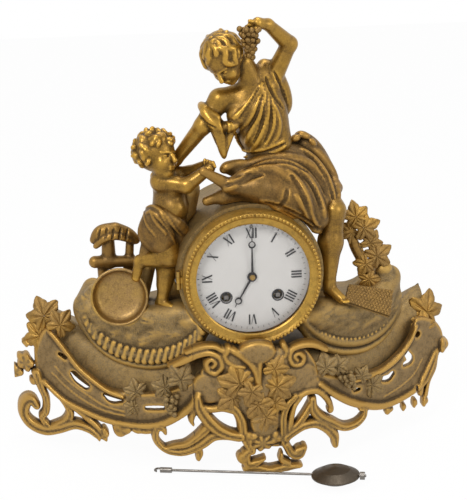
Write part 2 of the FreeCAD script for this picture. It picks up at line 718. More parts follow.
centre_pattern = scroll_pattern(CENTRE_STROKES, [(-0.06, 0.17, 0.055), (0.19, 0.16, 0.055)])
left_pattern = scroll_pattern(LEFT_STROKES, [(-0.965, 0.32, 0.07), (-0.215, 0.135, 0.035)])
right_pattern = scroll_pattern(RIGHT_STROKES, [(0.39, 0.115, 0.03)])
rim_end = 1.02 * size.base_half_width
MIDDLE_LEFT_SHARE, MIDDLE_RIGHT_SHARE = -0.30, 0.34
under_bezel = Part.makeBox(size.base_half_width * 2,
                           size.base_front + size.base_back + size.overrun,
                           size.dial_height - size.bezel_radius - 4 * size.end_play,
                           Vector(-size.base_half_width, -size.base_front - size.overrun, 0))
casting("apron_centre", openwork(centre_pattern, MIDDLE_LEFT_SHARE * size.base_half_width,
                                 MIDDLE_RIGHT_SHARE * size.base_half_width).common(under_bezel))
casting("apron_left", openwork(left_pattern.cut(centre_pattern), -rim_end, 0))
casting("apron_right", openwork(right_pattern.cut(centre_pattern), 0, rim_end))


# Vine leaves and grapes cast on the band, left and right
corner_length = float(size.corner_leaf_length)
corner_leaf_solids = []
for base_share, tip_share, depth_share in (
        ((-0.80, 0.80), (-0.85, 1.22), 0.36), ((0.84, 0.70), (0.92, 1.06), 0.34)):
    base = Vector(base_share[0] * size.base_half_width, depth_share * size.base_half_width,
                  base_share[1] * size.scroll_height)
    tip = Vector(tip_share[0] * size.base_half_width, depth_share * size.base_half_width,
                 tip_share[1] * size.scroll_height)
    corner_leaf_solids.append(vine_leaf(base, tip, Vector(0, -1, 0), corner_length,
                                        size.leaf_thickness))
corner_leaves = Part.makeCompound([
    largest_solid(solid.cut(shape_of("base_casting")).cut(shape_of("gallery_left")).cut(
        shape_of("gallery_right"))) for solid in corner_leaf_solids])
casting("corner_leaves", corner_leaves, pieces=2)

SPRAYS = (((-0.34, 0.70), (-0.50, 0.58), (-0.35, 0.50)), ((0.36, 0.72), (0.52, 0.52), (0.66, 0.42)))
SPRAY_TURNS = (200, 160, 250)
spray_solids = []
for bases in SPRAYS:
    middle = bases[1][0] * size.base_half_width
    parts = []
    for (x_share, z_share), turn in zip(bases, SPRAY_TURNS):
        base = Vector(x_share * size.base_half_width, 0, z_share * size.scroll_height)
        heading = Vector(math.cos(math.radians(turn)), 0, math.sin(math.radians(turn)))
        parts.append(vine_leaf(base, base + heading, Vector(0, -1, 0),
                               float(size.spray_leaf_length), size.leaf_thickness))
    spray = largest_solid(fused(parts))
    step = float(size.seam)
    slope = (rim_depth(middle + step) - rim_depth(middle - step)) / (step * 2)
    spray.rotate(Vector(middle, 0, 0), Vector(0, 0, 1), math.degrees(math.atan(slope)))
    spray.translate(Vector(0, rim_depth(middle) - size.seam, 0))
    spray_solids.append(spray)
casting("gallery_foliage", Part.makeCompound(spray_solids), pieces=2)

# The ground castings either side of the drum, each with a raised edge
GROUND_LEFT = [(-0.68, 1.40), (-0.665, 1.20), (-0.615, 1.04), (-0.53, 0.945), (-0.42, 0.905),
               (-0.32, 0.94), (-0.245, 1.02), (-0.195, 1.18)]
LEDGE_LEFT = [(-0.19, 1.36), (-0.30, 1.345), (-0.40, 1.31), (-0.55, 1.25), (-0.63, 1.28)]
GROUND_RIGHT = [(0.20, 1.20), (0.25, 1.02), (0.33, 0.92), (0.43, 0.865), (0.53, 0.85),
                (0.63, 0.91), (0.70, 1.06), (0.73, 1.28), (0.725, 1.50)]
LEDGE_RIGHT = [(0.66, 1.56), (0.58, 1.50), (0.48, 1.46), (0.36, 1.40), (0.21, 1.40)]


def ground(label, edge_shares, ledge_shares):
    edge = Part.BSplineCurve()
    edge.interpolate([elevation(*share) for share in edge_shares])
    ledge = [elevation(*share) for share in [edge_shares[-1]] + ledge_shares
             + [edge_shares[0]]]
    face = Part.Face(Part.Wire([edge.toShape()] + [
        Part.makeLine(a, b) for a, b in zip(ledge, ledge[1:])]))
    first, last = sorted((edge_shares[0][0], edge_shares[-1][0]))
    margin = 0.05
    wall = bowed_wall(size.mound_setback, size.mound_depth, 0, size.scroll_height * 2,
                      (first - margin) * size.base_half_width,
                      (last + margin) * size.base_half_width)
    block = through(face).common(wall)
    widths = [size.mound_rim_width / size.scroll_height] * len(edge_shares)
    rim_wall = bowed_wall(size.mound_setback - size.mound_rim_relief,
                          size.mound_rim_relief * 2, 0, size.scroll_height * 2,
                          (first - margin) * size.base_half_width,
                          (last + margin) * size.base_half_width)
    edge_band = through(stroke(edge_shares, widths)).common(rim_wall)
    rear = Part.makeBox(size.base_half_width * 2, size.overrun, size.scroll_height * 2,
                        Vector(-size.base_half_width, size.base_back, 0))
    shape = fused([block, edge_band]).cut(rear).cut(drum_block).cut(bezel_room)
    casting(label, shape, clear_of=["base_casting"])


ground("mound_left", GROUND_LEFT, LEDGE_LEFT)
ground("mound_right", GROUND_RIGHT, LEDGE_RIGHT)

# Rocks that back the figures and stand against the drum
ROCK_SHARES = {
    "left_foot": (-0.64, 0.50, -0.80), "left_waist": (-0.60, 0.50, -0.20),
    "left_top": (-0.50, 0.44, 0.52), "left_knob": (-0.42, 0.36, 0.62),
    "right_foot": (0.66, 0.50, -0.76), "right_top": (0.62, 0.46, 0.16),
}
dial_centre = Vector(0, 0, size.dial_height)
rock_scale = size.scroll_height
rocks = [
    body_of_limbs(dial_centre, rock_scale, ROCK_SHARES, [
        ("left_foot", "left_waist", 0.18, 0.15), ("left_waist", "left_top", 0.145, 0.11)]),
    body_of_limbs(dial_centre, rock_scale, ROCK_SHARES, [
        ("right_foot", "right_top", 0.17, 0.12)])]
rock_solids = []
for rock, ground_label in zip(rocks, ("mound_left", "mound_right")):
    rock = rock.cut(drum_block).cut(shape_of(ground_label)).cut(shape_of("base_casting"))
    rock_solids.append(largest_solid(rock))
casting("rock_backing", Part.makeCompound(rock_solids), pieces=2)

# The woman, seated on the drum
woman_seat = Vector(size.woman_seat_x, size.woman_seat_y,
                    size.dial_height + size.woman_seat_rise)
WOMAN = {
    "hip_right": (0.22, 0.02, 0.03), "hip_left": (-0.03, 0.0, 0.05),
    "belt": (0.0, 0.012, 0.175), "waist": (-0.01, 0.0, 0.19), "ribs": (-0.085, -0.02, 0.39),
    "chest": (-0.18, -0.04, 0.60),
    "breast_left": (-0.27, -0.13, 0.55), "breast_right": (-0.10, -0.13, 0.60),
    "neck_base": (-0.15, -0.05, 0.72), "neck_top": (-0.27, -0.12, 0.90),
    "shoulder_left": (-0.40, -0.05, 0.67), "shoulder_right": (0.02, -0.02, 0.76),
    "skull": (-0.38, -0.13, 1.08), "face": (-0.36, -0.22, 1.00), "chin": (-0.31, -0.24, 0.90),
    "bun": (-0.27, 0.0, 1.10),
    "elbow_up": (0.187, -0.06, 1.115), "wrist_up": (-0.006, -0.18, 1.30),
    "hand_up": (-0.13, -0.24, 1.335),
    "elbow_reach": (-0.55, -0.08, 0.46), "wrist_reach": (-0.77, 0.05, 0.15),
    "hand_reach": (-0.96, 0.12, -0.01),
    "sleeve_left": (-0.50, -0.08, 0.56), "sleeve_left_tip": (-0.50, -0.14, 0.26),
    "sleeve_right": (0.08, 0.02, 0.84), "sleeve_right_foot": (0.20, 0.08, 0.60),
    "knee_left": (-0.12, -0.33, -0.05), "knee_right": (0.48, -0.10, -0.26),
    "lap": (0.10, -0.20, 0.0), "lap_foot": (0.30, -0.24, -0.20),
    "hem_right": (0.38, -0.28, -0.36), "hem_right_tip": (0.40, -0.28, -0.52),
    "hem_left": (-0.30, -0.32, -0.02), "hem_left_tip": (-0.58, -0.30, 0.12),
    "drum_fold": (-0.30, -0.16, -0.12), "drum_fold_tip": (-0.56, -0.14, -0.20),
    "knee_bare": (0.53, -0.17, -0.31), "calf": (0.485, -0.20, -0.58),
    "ankle": (0.464, -0.22, -0.93), "heel": (0.463, -0.17, -1.03), "toe": (0.60, -0.33, -1.085),
    "knot": (0.31, 0.12, 0.28), "cape_top": (0.44, 0.12, 0.12), "cape_mid": (0.55, 0.10, -0.04),
    "cape_foot": (0.60, 0.04, -0.24),
    "grape_top": (-0.16, -0.28, 1.34), "grape_foot": (-0.165, -0.28, 1.05),
}


def woman(label, limbs, clear_of=(), also_clear=()):
    shape = body_of_limbs(woman_seat, size.woman_scale, WOMAN, limbs)
    for solid in also_clear:
        shape = cut_away(shape, solid)
    return casting(label, shape, clear_of=clear_of)


woman("woman_torso", [
    ("waist", "ribs", 0.145, 0.16), ("ribs", "chest", 0.16, 0.165),
    ("shoulder_left", "shoulder_right", 0.11, 0.11), ("breast_left", "breast_right", 0.09, 0.09),
    ("neck_base", "neck_top", 0.075, 0.062)])
woman("woman_head", [
    ("skull", "face", 0.155, 0.11), ("face", "chin", 0.10, 0.055), ("skull", "bun", 0.155, 0.12)],
    clear_of=["woman_torso"])
woman("woman_raised_arm", [
    ("shoulder_right", "elbow_up", 0.085, 0.068), ("elbow_up", "wrist_up", 0.068, 0.045),
    ("wrist_up", "hand_up", 0.045, 0.05), ("sleeve_right", "sleeve_right_foot", 0.10, 0.11)],
    clear_of=["woman_torso", "woman_head"])
woman("woman_reaching_arm", [
    ("shoulder_left", "elbow_reach", 0.085, 0.07), ("elbow_reach", "wrist_reach", 0.066, 0.045),
    ("wrist_reach", "hand_reach", 0.045, 0.05), ("shoulder_left", "sleeve_left", 0.10, 0.10),
    ("sleeve_left", "sleeve_left_tip", 0.09, 0.03)],
    clear_of=["woman_torso", "woman_head"])
casting("grape_bunch", grapes(
    spot(woman_seat, size.woman_scale, WOMAN["grape_top"]),
    spot(woman_seat, size.woman_scale, WOMAN["grape_foot"])
    - spot(woman_seat, size.woman_scale, WOMAN["grape_top"]), 5, size.grape_radius),
    clear_of=["woman_raised_arm", "woman_head"])
woman("woman_skirt", [
    ("belt", "hip_right", 0.165, 0.25), ("belt", "hip_left", 0.165, 0.22),
    ("hip_left", "knee_left", 0.22, 0.17), ("hip_right", "knee_right", 0.25, 0.165),
    ("lap", "lap_foot", 0.22, 0.19), ("lap_foot", "hem_right", 0.19, 0.13),
    ("hem_right", "hem_right_tip", 0.13, 0.08),
    ("knee_left", "hem_left", 0.15, 0.11), ("hem_left", "hem_left_tip", 0.11, 0.06),
    ("hem_left", "drum_fold", 0.11, 0.09), ("drum_fold", "drum_fold_tip", 0.09, 0.06)],
    clear_of=["woman_torso", "rock_backing"], also_clear=[drum_block, bezel_room])
woman("woman_lower_leg", [
    ("knee_bare", "calf", 0.105, 0.09), ("calf", "ankle", 0.09, 0.05),
    ("ankle", "heel", 0.05, 0.05), ("heel", "toe", 0.05, 0.035)],
    clear_of=["woman_skirt", "mound_right", "rock_backing"], also_clear=[drum_block])
woman("woman_back_drape", [
    ("knot", "cape_top", 0.10, 0.11), ("cape_top", "cape_mid", 0.11, 0.12),
    ("cape_mid", "cape_foot", 0.12, 0.06)],
    clear_of=["woman_torso", "woman_skirt", "woman_lower_leg", "rock_backing"],
    also_clear=[drum_block])

# The child, standing on the left ground
child_stand = Vector(-size.child_stand_x, size.child_stand_y, size.child_stand_z)
CHILD = {
    "skull": (-0.095, 0.04, 1.40), "face": (-0.04, -0.02, 1.365), "neck": (-0.03, 0.04, 1.19),
    "chest": (0.02, 0.05, 1.06), "belly": (0.035, 0.04, 0.89), "pelvis": (-0.01, 0.06, 0.73),
    "shoulder_near": (-0.06, -0.04, 1.125), "elbow_near": (0.15, -0.12, 1.11),
    "hand_near": (0.35, -0.13, 1.26),
    "shoulder_far": (0.07, 0.13, 1.14), "elbow_far": (0.20, 0.07, 1.17),
    "hand_far": (0.335, -0.05, 1.29),
    "hip_near": (-0.06, -0.01, 0.70), "knee_near": (0.01, -0.07, 0.47),
    "ankle_near": (-0.25, 0.06, 0.41), "toe_near": (-0.28, 0.06, 0.24),
    "hip_far": (0.02, 0.09, 0.68), "knee_far": (-0.02, 0.05, 0.385),
    "ankle_far": (-0.067, 0.0, 0.085), "heel_far": (-0.10, 0.03, 0.02),
    "toe_far": (0.01, -0.09, 0.02),
    "sash_start": (-0.155, 0.08, 0.83), "sash_mid": (0.02, -0.06, 0.79),
    "sash_end": (0.15, -0.06, 0.64), "hip_drape": (-0.09, 0.05, 0.60),
}


def child(label, limbs, clear_of=(), also_clear=()):
    shape = body_of_limbs(child_stand, size.child_scale, CHILD, limbs)
    for solid in also_clear:
        shape = cut_away(shape, solid)
    return casting(label, shape, clear_of=clear_of)


woman_parts = ["woman_reaching_arm", "woman_skirt"]
child("child_body", [
    ("neck", "chest", 0.075, 0.12), ("chest", "belly", 0.125, 0.135),
    ("belly", "pelvis", 0.135, 0.14), ("shoulder_near", "shoulder_far", 0.085, 0.085)],
    clear_of=woman_parts + ["rock_backing"], also_clear=[drum_block])
child("child_head", [("skull", "face", 0.175, 0.14)],
      clear_of=["child_body"] + woman_parts)
child("child_arms", [
    ("shoulder_near", "elbow_near", 0.07, 0.058), ("elbow_near", "hand_near", 0.054, 0.054),
    ("shoulder_far", "elbow_far", 0.065, 0.055), ("elbow_far", "hand_far", 0.052, 0.052)],
    clear_of=["child_body", "child_head", "rock_backing"] + woman_parts)
child("child_legs", [
    ("hip_near", "knee_near", 0.115, 0.085), ("knee_near", "ankle_near", 0.08, 0.045),
    ("ankle_near", "toe_near", 0.045, 0.03), ("hip_far", "knee_far", 0.11, 0.075),
    ("knee_far", "ankle_far", 0.075, 0.045), ("ankle_far", "heel_far", 0.045, 0.045),
    ("heel_far", "toe_far", 0.042, 0.03)],
    clear_of=["child_body", "rock_backing", "mound_left"], also_clear=[drum_block])
child("child_loincloth", [
    ("sash_start", "sash_mid", 0.05, 0.05), ("sash_mid", "sash_end", 0.05, 0.035),
    ("sash_start", "hip_drape", 0.07, 0.08), ("hip_drape", "knee_near", 0.13, 0.09)],
    clear_of=["child_body", "child_legs", "rock_backing"], also_clear=[drum_block])

# The grape tub, the press, the wicker tray and the vine
bowl = turned("bowl", [
    (0, -size.bowl_wall), (size.bowl_radius * 0.7, -size.bowl_wall),
    (size.bowl_radius - size.bowl_wall, -size.bowl_depth),
    (size.bowl_radius, -size.bowl_depth),
    (size.bowl_radius, -size.bowl_depth * 0.8),
    (size.bowl_radius * 0.76, 0), (0, 0)], x=-size.bowl_x, z=size.bowl_z)
bowl.Placement.Rotation = FreeCAD.Rotation(Vector(1, 0, 0), -size.bowl_lean)
place(bowl, y=size.bowl_y)
doc.recompute()

TRESTLE = {
    "log_left": (-0.95, 0.0, 0.0), "log_right": (0.95, 0.0, 0.0),
    "foot_left": (-0.75, 0.1, -2.2), "foot_right": (0.75, 0.1, -2.2),
    "post_foot": (-0.05, 0.0, 0.1), "post_top": (-0.05, 0.0, 1.15),
    "cap_left": (-0.80, 0.0, 1.15), "cap_mid": (0.05, 0.0, 1.60), "cap_right": (0.75, 0.0, 1.20),
    "side_top": (0.75, 0.0, 1.15),
}
trestle_spot = Vector(-size.trestle_x, size.trestle_y, size.trestle_z)
casting("trestle", body_of_limbs(trestle_spot, size.trestle_scale, TRESTLE, [
    ("log_left", "log_right", 0.26, 0.26), ("log_left", "foot_left", 0.16, 0.16),
    ("log_right", "foot_right", 0.16, 0.16), ("post_foot", "post_top", 0.30, 0.26),
    ("cap_left", "cap_mid", 0.20, 0.22), ("cap_mid", "cap_right", 0.22, 0.20),
    ("log_right", "side_top", 0.16, 0.16)]),
    clear_of=["mound_left", "rock_backing", "bowl", "child_legs", "child_loincloth"])

tray = Part.makeBox(size.basket_length, size.basket_height, size.basket_width,
                    Vector(-size.basket_length / 2, -size.basket_height / 2,
                           -size.basket_width / 2))
tray.rotate(Vector(0, 0, 0), Vector(1, 0, 0), -size.basket_pitch)
tray.rotate(Vector(0, 0, 0), Vector(0, 1, 0), size.basket_tilt)
tray.translate(Vector(size.basket_x, size.basket_y, size.basket_z))
casting("basket", tray, clear_of=["mound_right", "woman_lower_leg", "rock_backing"])

TRUNK = {
    "foot": (0.02, -0.02, 1.34), "low": (0.0, 0.0, 1.56), "mid": (0.03, -0.02, 1.78),
    "top": (0.02, -0.04, 1.98), "branch": (0.14, -0.06, 1.68), "tie": (-0.22, 0.02, 1.98),
    "stone": (0.32, -0.06, 1.50), "stone_foot": (0.32, -0.02, 1.38),
}
trunk_spot = Vector(size.trunk_x, size.trunk_y, 0)
trunk = body_of_limbs(trunk_spot, size.trunk_scale, TRUNK, [
    ("foot", "low", 0.09, 0.065), ("low", "mid", 0.065, 0.05), ("mid", "top", 0.05, 0.035),
    ("low", "branch", 0.05, 0.03), ("mid", "tie", 0.045, 0.04),
    ("foot", "stone_foot", 0.09, 0.10), ("stone_foot", "stone", 0.10, 0.085)])
TRUNK_LEAVES = (("top", (-0.02, 0.0, 1.0), 0.26), ("top", (0.75, 0.0, 0.35), 0.24),
                ("branch", (0.8, 0.0, 0.6), 0.24), ("mid", (0.6, 0.0, -0.5), 0.18))
for start, heading, length_share in TRUNK_LEAVES:
    base = spot(trunk_spot, size.trunk_scale, TRUNK[start])
    trunk = trunk.fuse(vine_leaf(base, base + Vector(*heading), Vector(0, -1, 0),
                                 length_share * size.trunk_scale, size.leaf_thickness))
casting("vine_trunk", trunk, clear_of=[
    "mound_right", "rock_backing", "woman_lower_leg", "woman_skirt", "woman_back_drape",
    "basket"])

# Dial, bezel and hinge

def add_pad(body, name, draw, start, length, role="XZ_Plane"):
    """Adds a pad that runs back from a depth, or up from a height on the XY plane."""
    sketch = body.newObject("Sketcher::SketchObject", name + "_sketch")
    sketch.AttachmentSupport = [(origin_plane(body, role), "")]
    sketch.MapMode = "FlatFace"
    backward = role == "XZ_Plane"
    sketch.setExpression("AttachmentOffset.Base.z", words(-start if backward else start))
    draw(sketch)
    pad = body.newObject("PartDesign::Pad", name)
    pad.Profile = sketch
    pad.Reversed = backward
    pad.setExpression("Length", words(length))
    return pad


def add_pocket(body, name, draw, start, length, role="XZ_Plane"):
    """Cuts back from a depth, or up from a height on the XY plane."""
    sketch = body.newObject("Sketcher::SketchObject", name + "_sketch")
    sketch.AttachmentSupport = [(origin_plane(body, role), "")]
    sketch.MapMode = "FlatFace"
    backward = role == "XZ_Plane"
    sketch.setExpression("AttachmentOffset.Base.z", words(-start if backward else start))
    draw(sketch)
    doc.recompute()
    before = body.Shape.Volume
    pocket = body.newObject("PartDesign::Pocket", name)
    pocket.Profile = sketch
    pocket.Reversed = not backward
    pocket.setExpression("Length", words(length))
    doc.recompute()
    if not body.Shape.Volume < before:
        raise ValueError(f"{name} cuts nothing")
    return pocket


def circles(*items):
    """Draws circles given as (radius, across, along)."""
    def draw(sketch):
        for item in items:
            draw_circle(sketch, *item)
    return draw


def outline_of(*points):
    def draw(sketch):
        draw_outline(sketch, list(points))
    return draw


zero = size.dial_height - size.dial_height
total_depth = size.drum_depth + size.overrun
half_knuckle = size.hinge_knuckle_length / 2
pin_bore = size.hinge_pin_radius + size.running_fit
knuckle_web = size.hinge_knuckle_radius / 2
winding_places = ((size.winding_offset_x, -size.winding_drop),
                  (-size.winding_offset_x, -size.winding_drop))

body = new_body("dial_plate")
add_pad(body, "flange", circles((size.plate_rim_radius, 0, 0)), plate_front,
        size.plate_thickness)
sight_front = dial_front + size.dial_crown - size.seam
add_pad(body, "sight_ring", circles(
    (size.dial_radius + size.seam + size.sight_width, 0, 0),
    (size.dial_radius + size.seam, 0, 0)), sight_front, plate_front - sight_front)
foot_turns = [math.radians(turn) for turn in (30, 150, 270)]
add_pad(body, "dial_feet", circles(*[
    (size.dial_foot_radius, size.dial_feet_circle * math.cos(turn),
     size.dial_feet_circle * math.sin(turn)) for turn in foot_turns]),
    drum_front, size.movement_front)


def plate_knuckle(body, name, start, side, axis_y, leaf_edge, leaf_front, leaf_back):
    """A hinge knuckle with the web that joins it to its flat leaf; side is -1 or 1."""
    web = side * knuckle_web
    line_x = hinge_x * side
    add_pad(body, name + "_web", outline_of(
        (line_x + web, axis_y), (line_x - web, axis_y), (line_x - web, leaf_front),
        (leaf_edge * side, leaf_front), (leaf_edge * side, leaf_back),
        (line_x + web, leaf_back)), start, size.hinge_knuckle_length, role="XY_Plane")
    add_pad(body, name + "_knuckle", circles((size.hinge_knuckle_radius, line_x, axis_y)),
            start, size.hinge_knuckle_length, role="XY_Plane")
    add_pocket(body, name + "_bore", circles((pin_bore, line_x, axis_y)),
               start - size.end_play, size.hinge_knuckle_length + size.end_play * 2,
               role="XY_Plane")


upper_knuckle = half_knuckle + size.end_play
lower_knuckle = -upper_knuckle - size.hinge_knuckle_length
leaf_edge = size.plate_rim_radius - size.hinge_knuckle_length
for name, start in (("upper", upper_knuckle), ("lower", lower_knuckle)):
    plate_knuckle(body, name, start, -1, hinge_y, leaf_edge, plate_front, drum_front)
arbor_holes = [(size.winding_hole_radius, *spot_) for spot_ in winding_places]
arbor_holes += [(size.hour_pipe_radius + size.end_play, 0, 0),
                (size.regulator_radius + size.end_play, 0, size.regulator_rise)]
add_pocket(body, "arbor_holes", circles(*arbor_holes), bezel_front, total_depth)
place(body, z=size.dial_height)

body = turned("dial_enamel", [
    (0, dial_front), (size.dial_radius * 0.6, dial_front + size.dial_crown * 0.36),
    (size.dial_radius, dial_front + size.dial_crown), (size.dial_radius, dial_back),
    (0, dial_back)])
add_pocket(body, "dial_holes", circles(*arbor_holes), bezel_front, total_depth)

glass_front = bezel_front + size.bead_radius + size.glass_thickness
glass_back = glass_front + size.glass_thickness
bezel_bore = size.dial_radius + size.sight_width + size.seam + size.end_play * 5
body = turned("bezel_ring", [
    (bezel_bore, bezel_back), (size.bezel_radius, bezel_back),
    (size.bezel_radius, bezel_back - size.bezel_depth * 0.45),
    (size.bead_circle + size.bead_radius, bezel_front + size.bead_radius),
    (size.bead_circle, bezel_front), (size.bead_circle - size.bead_radius,
                                      bezel_front + size.bead_radius),
    (size.bezel_sight + size.bead_radius * 0.6, bezel_front + size.bead_radius),
    (size.bezel_sight, bezel_front + size.bead_radius * 1.4),
    (size.bezel_sight, glass_front), (size.glass_radius + size.seam, glass_front),
    (size.glass_radius + size.seam, glass_back), (bezel_bore, glass_back)])
add_pad(body, "bezel_web", outline_of(
    (-hinge_x, hinge_y - knuckle_web), (-size.bezel_radius + knuckle_web,
                                        hinge_y - knuckle_web),
    (-size.bezel_radius + knuckle_web, bezel_back), (-hinge_x, bezel_back)),
    -half_knuckle, size.hinge_knuckle_length, role="XY_Plane")
add_pad(body, "bezel_knuckle", circles((size.hinge_knuckle_radius, -hinge_x, hinge_y)),
        -half_knuckle, size.hinge_knuckle_length, role="XY_Plane")
add_pocket(body, "bezel_bore", circles((pin_bore, -hinge_x, hinge_y)),
           -half_knuckle - size.end_play, size.hinge_knuckle_length + size.end_play * 2,
           role="XY_Plane")
turned("bezel_glass", [
    (0, glass_front), (size.glass_radius, glass_front), (size.glass_radius, glass_back),
    (0, glass_back)])

# Rear ring, straps, screws and door
screw_bore = size.screw_radius + size.running_fit
head_bore = size.screw_head_radius + size.end_play
door_back_gap = rear_ring_back + size.bezel_gap
door_axis_y = door_back_gap + size.hinge_knuckle_radius - size.end_play
ring_edge = size.drum_radius - size.seam
body = new_body("rear_ring")
add_pad(body, "ring", circles((ring_edge, 0, 0), (size.rear_ring_opening, 0, 0)),
        drum_back, size.rear_ring_thickness)
for name, start in (("upper_rear", upper_knuckle), ("lower_rear", lower_knuckle)):
    plate_knuckle(body, name, start, 1, door_axis_y, size.door_radius, rear_ring_back,
                  drum_back)
screw_places = ((size.screw_circle, zero), (-size.screw_circle, zero))
add_pocket(body, "screw_holes", circles(*[
    (screw_bore, across, 0) for across, _ in screw_places]), drum_front, total_depth)
add_pocket(body, "head_seats", circles(*[
    (head_bore, across, 0) for across, _ in screw_places]),
    rear_ring_back - size.screw_head_height, total_depth)
place(body, z=size.dial_height)

body = turned("rear_door", [
    (size.door_radius, door_back_gap), (size.door_radius, door_back_gap + size.door_thickness),
    (size.door_radius * 0.9, door_back_gap + size.door_thickness),
    (size.door_radius * 0.62, door_back_gap + size.door_thickness + size.door_depth * 0.72),
    (0, door_back_gap + size.door_thickness + size.door_depth),
    (0, door_back_gap + size.door_depth),
    (size.door_radius * 0.6, door_back_gap + size.door_depth * 0.72),
    (size.door_radius * 0.86, door_back_gap)])
add_pad(body, "door_knob", circles(
    (size.door_knob_radius, -size.door_radius * 0.93, 0)), door_back_gap, size.door_depth)
add_pad(body, "door_web", outline_of(
    (hinge_x, door_axis_y + knuckle_web), (size.door_radius - knuckle_web,
                                           door_axis_y + knuckle_web),
    (size.door_radius - knuckle_web, door_back_gap), (hinge_x, door_back_gap)),
    -half_knuckle, size.hinge_knuckle_length, role="XY_Plane")
add_pad(body, "door_knuckle", circles((size.hinge_knuckle_radius, hinge_x, door_axis_y)),
        -half_knuckle, size.hinge_knuckle_length, role="XY_Plane")
add_pocket(body, "door_bore", circles((pin_bore, hinge_x, door_axis_y)),
           -half_knuckle - size.end_play, size.hinge_knuckle_length + size.end_play * 2,
           role="XY_Plane")

pin_length = size.hinge_knuckle_length * 3 + size.end_play * 2
casting("hinge_pins", Part.makeCompound([
    Part.makeCylinder(size.hinge_pin_radius, pin_length,
                      Vector(side * hinge_x, depth, size.dial_height - pin_length / 2))
    for side, depth in ((-1, hinge_y), (1, door_axis_y))]), pieces=2)


def upright_box(across, deep, tall, x, front, z):
    """A box given by its width, depth and height, the middle of its width and height."""
    return Part.makeBox(across, deep, tall, Vector(x - across / 2, front, z - tall / 2))


strap_solids = []
for side in (-1, 1):
    lug_reach = size.strap_offset - size.screw_circle + size.screw_head_radius
    strap = upright_box(size.strap_thickness, size.drum_depth, size.strap_width,
                        side * size.strap_offset, drum_front, size.dial_height)
    lug = upright_box(lug_reach, size.screw_length * 0.5, size.strap_width,
                      side * (size.strap_offset - lug_reach / 2),
                      drum_back - size.screw_length * 0.5, size.dial_height)
    hole = at_dial(about_axis(screw_bore, drum_front, drum_back + size.overrun),
                   side * size.screw_circle)
    strap_solids.append(strap.fuse(lug).cut(hole))
casting("case_straps", Part.makeCompound(strap_solids), pieces=2)
screw_head_front = rear_ring_back - size.screw_head_height
casting("strap_screws", Part.makeCompound([
    at_dial(about_axis(size.screw_radius, screw_head_front - size.screw_length,
                       screw_head_front).fuse(
        about_axis(size.screw_head_radius, screw_head_front, rear_ring_back)),
        side * size.screw_circle) for side in (-1, 1)]), pieces=2)

# Hands

def hand(label, length, ring_share, hub, bore, back, turn):
    """An open-ring hand: hub, tapering blade, pierced ring and point, turned clockwise."""
    ring_at = length * ring_share
    ring = size.hand_ring_radius
    root = size.hand_width / 2
    slim = root * 0.45

    def disc(radius, height):
        circle = Part.Circle(Vector(0, back, height), Vector(0, 1, 0), float(radius))
        return Part.Face(Part.Wire(circle.toShape()))

    def blade(points):
        corners = [Vector(x, back, z) for x, z in points]
        return Part.Face(Part.makePolygon(corners + [corners[0]]))

    faces = [
        blade([(-root, 0), (root, 0), (slim, ring_at - ring * 0.9),
               (-slim, ring_at - ring * 0.9)]),
        disc(ring, ring_at),
        blade([(-slim, ring_at + ring * 0.9), (slim, ring_at + ring * 0.9),
               (slim * 0.3, length), (-slim * 0.3, length)])]
    outline = disc(hub, 0).multiFuse(faces).cut(disc(bore, 0)).cut(
        disc(ring * 0.66, ring_at + ring * 0.12)).removeSplitter()
    solid = outline.extrude(Vector(0, -size.hand_thickness, 0))
    solid.rotate(Vector(0, 0, 0), Vector(0, 1, 0), turn)
    casting(label, at_dial(solid))


hand("minute_hand", size.minute_hand_length, 0.71, size.hour_pipe_radius,
     size.centre_arbor_radius, minute_hand_back, 0)
hand("hour_hand", size.hour_hand_length, 0.79, size.hour_pipe_radius * 1.6,
     size.hour_pipe_radius, hour_hand_back, 210)
turned("hand_collet", [
    (0, minute_hand_front - size.hand_gap * 1.6), (size.collet_radius * 0.7,
                                                   minute_hand_front - size.hand_gap * 1.6),
    (size.collet_radius, minute_hand_front - size.hand_gap * 0.8),
    (size.collet_radius, minute_hand_front), (0, minute_hand_front)])

# Movement
square_front = dial_front + size.end_play
arbor_bore = size.winding_arbor_radius + size.running_fit
pivot_bore = size.pivot_radius + size.running_fit
third_reach = size.centre_wheel_radius + size.pinion_radius + size.mesh_gap
escape_reach = size.third_wheel_radius + size.pinion_radius + size.mesh_gap
third_z = (third_reach ** 2 - escape_reach ** 2 + size.escape_rise ** 2) / (
    2 * size.escape_rise)
third_x = math.sqrt(third_reach ** 2 - third_z ** 2)
motion_x = size.motion_wheel_radius + size.pinion_radius + size.mesh_gap * 3
train_holes = [(arbor_bore, *place_) for place_ in winding_places]
train_holes += [(size.centre_arbor_radius + size.running_fit, 0, 0),
                (size.regulator_radius + size.running_fit, 0, size.regulator_rise),
                (pivot_bore, third_x, third_z), (pivot_bore, 0, size.escape_rise),
                (pivot_bore, 0, size.pallet_rise),
                (pivot_bore, size.hammer_offset, -size.hammer_drop)]
plate_with_holes("movement_front_plate", size.movement_radius,
                 train_holes + [(pivot_bore, -motion_x, 0)],
                 front_plate_front, size.movement_plate)
plate_with_holes("movement_back_plate", size.movement_radius, train_holes,
                 back_plate_front, size.movement_plate)
pillar_turns = [math.radians(turn) for turn in (30, 150, 255, 285)]
casting("movement_pillars", Part.makeCompound([
    at_dial(about_axis(size.pillar_radius, front_plate_back, back_plate_front),
            size.pillar_circle * math.cos(turn), size.pillar_circle * math.sin(turn))
    for turn in pillar_turns]), pieces=4)

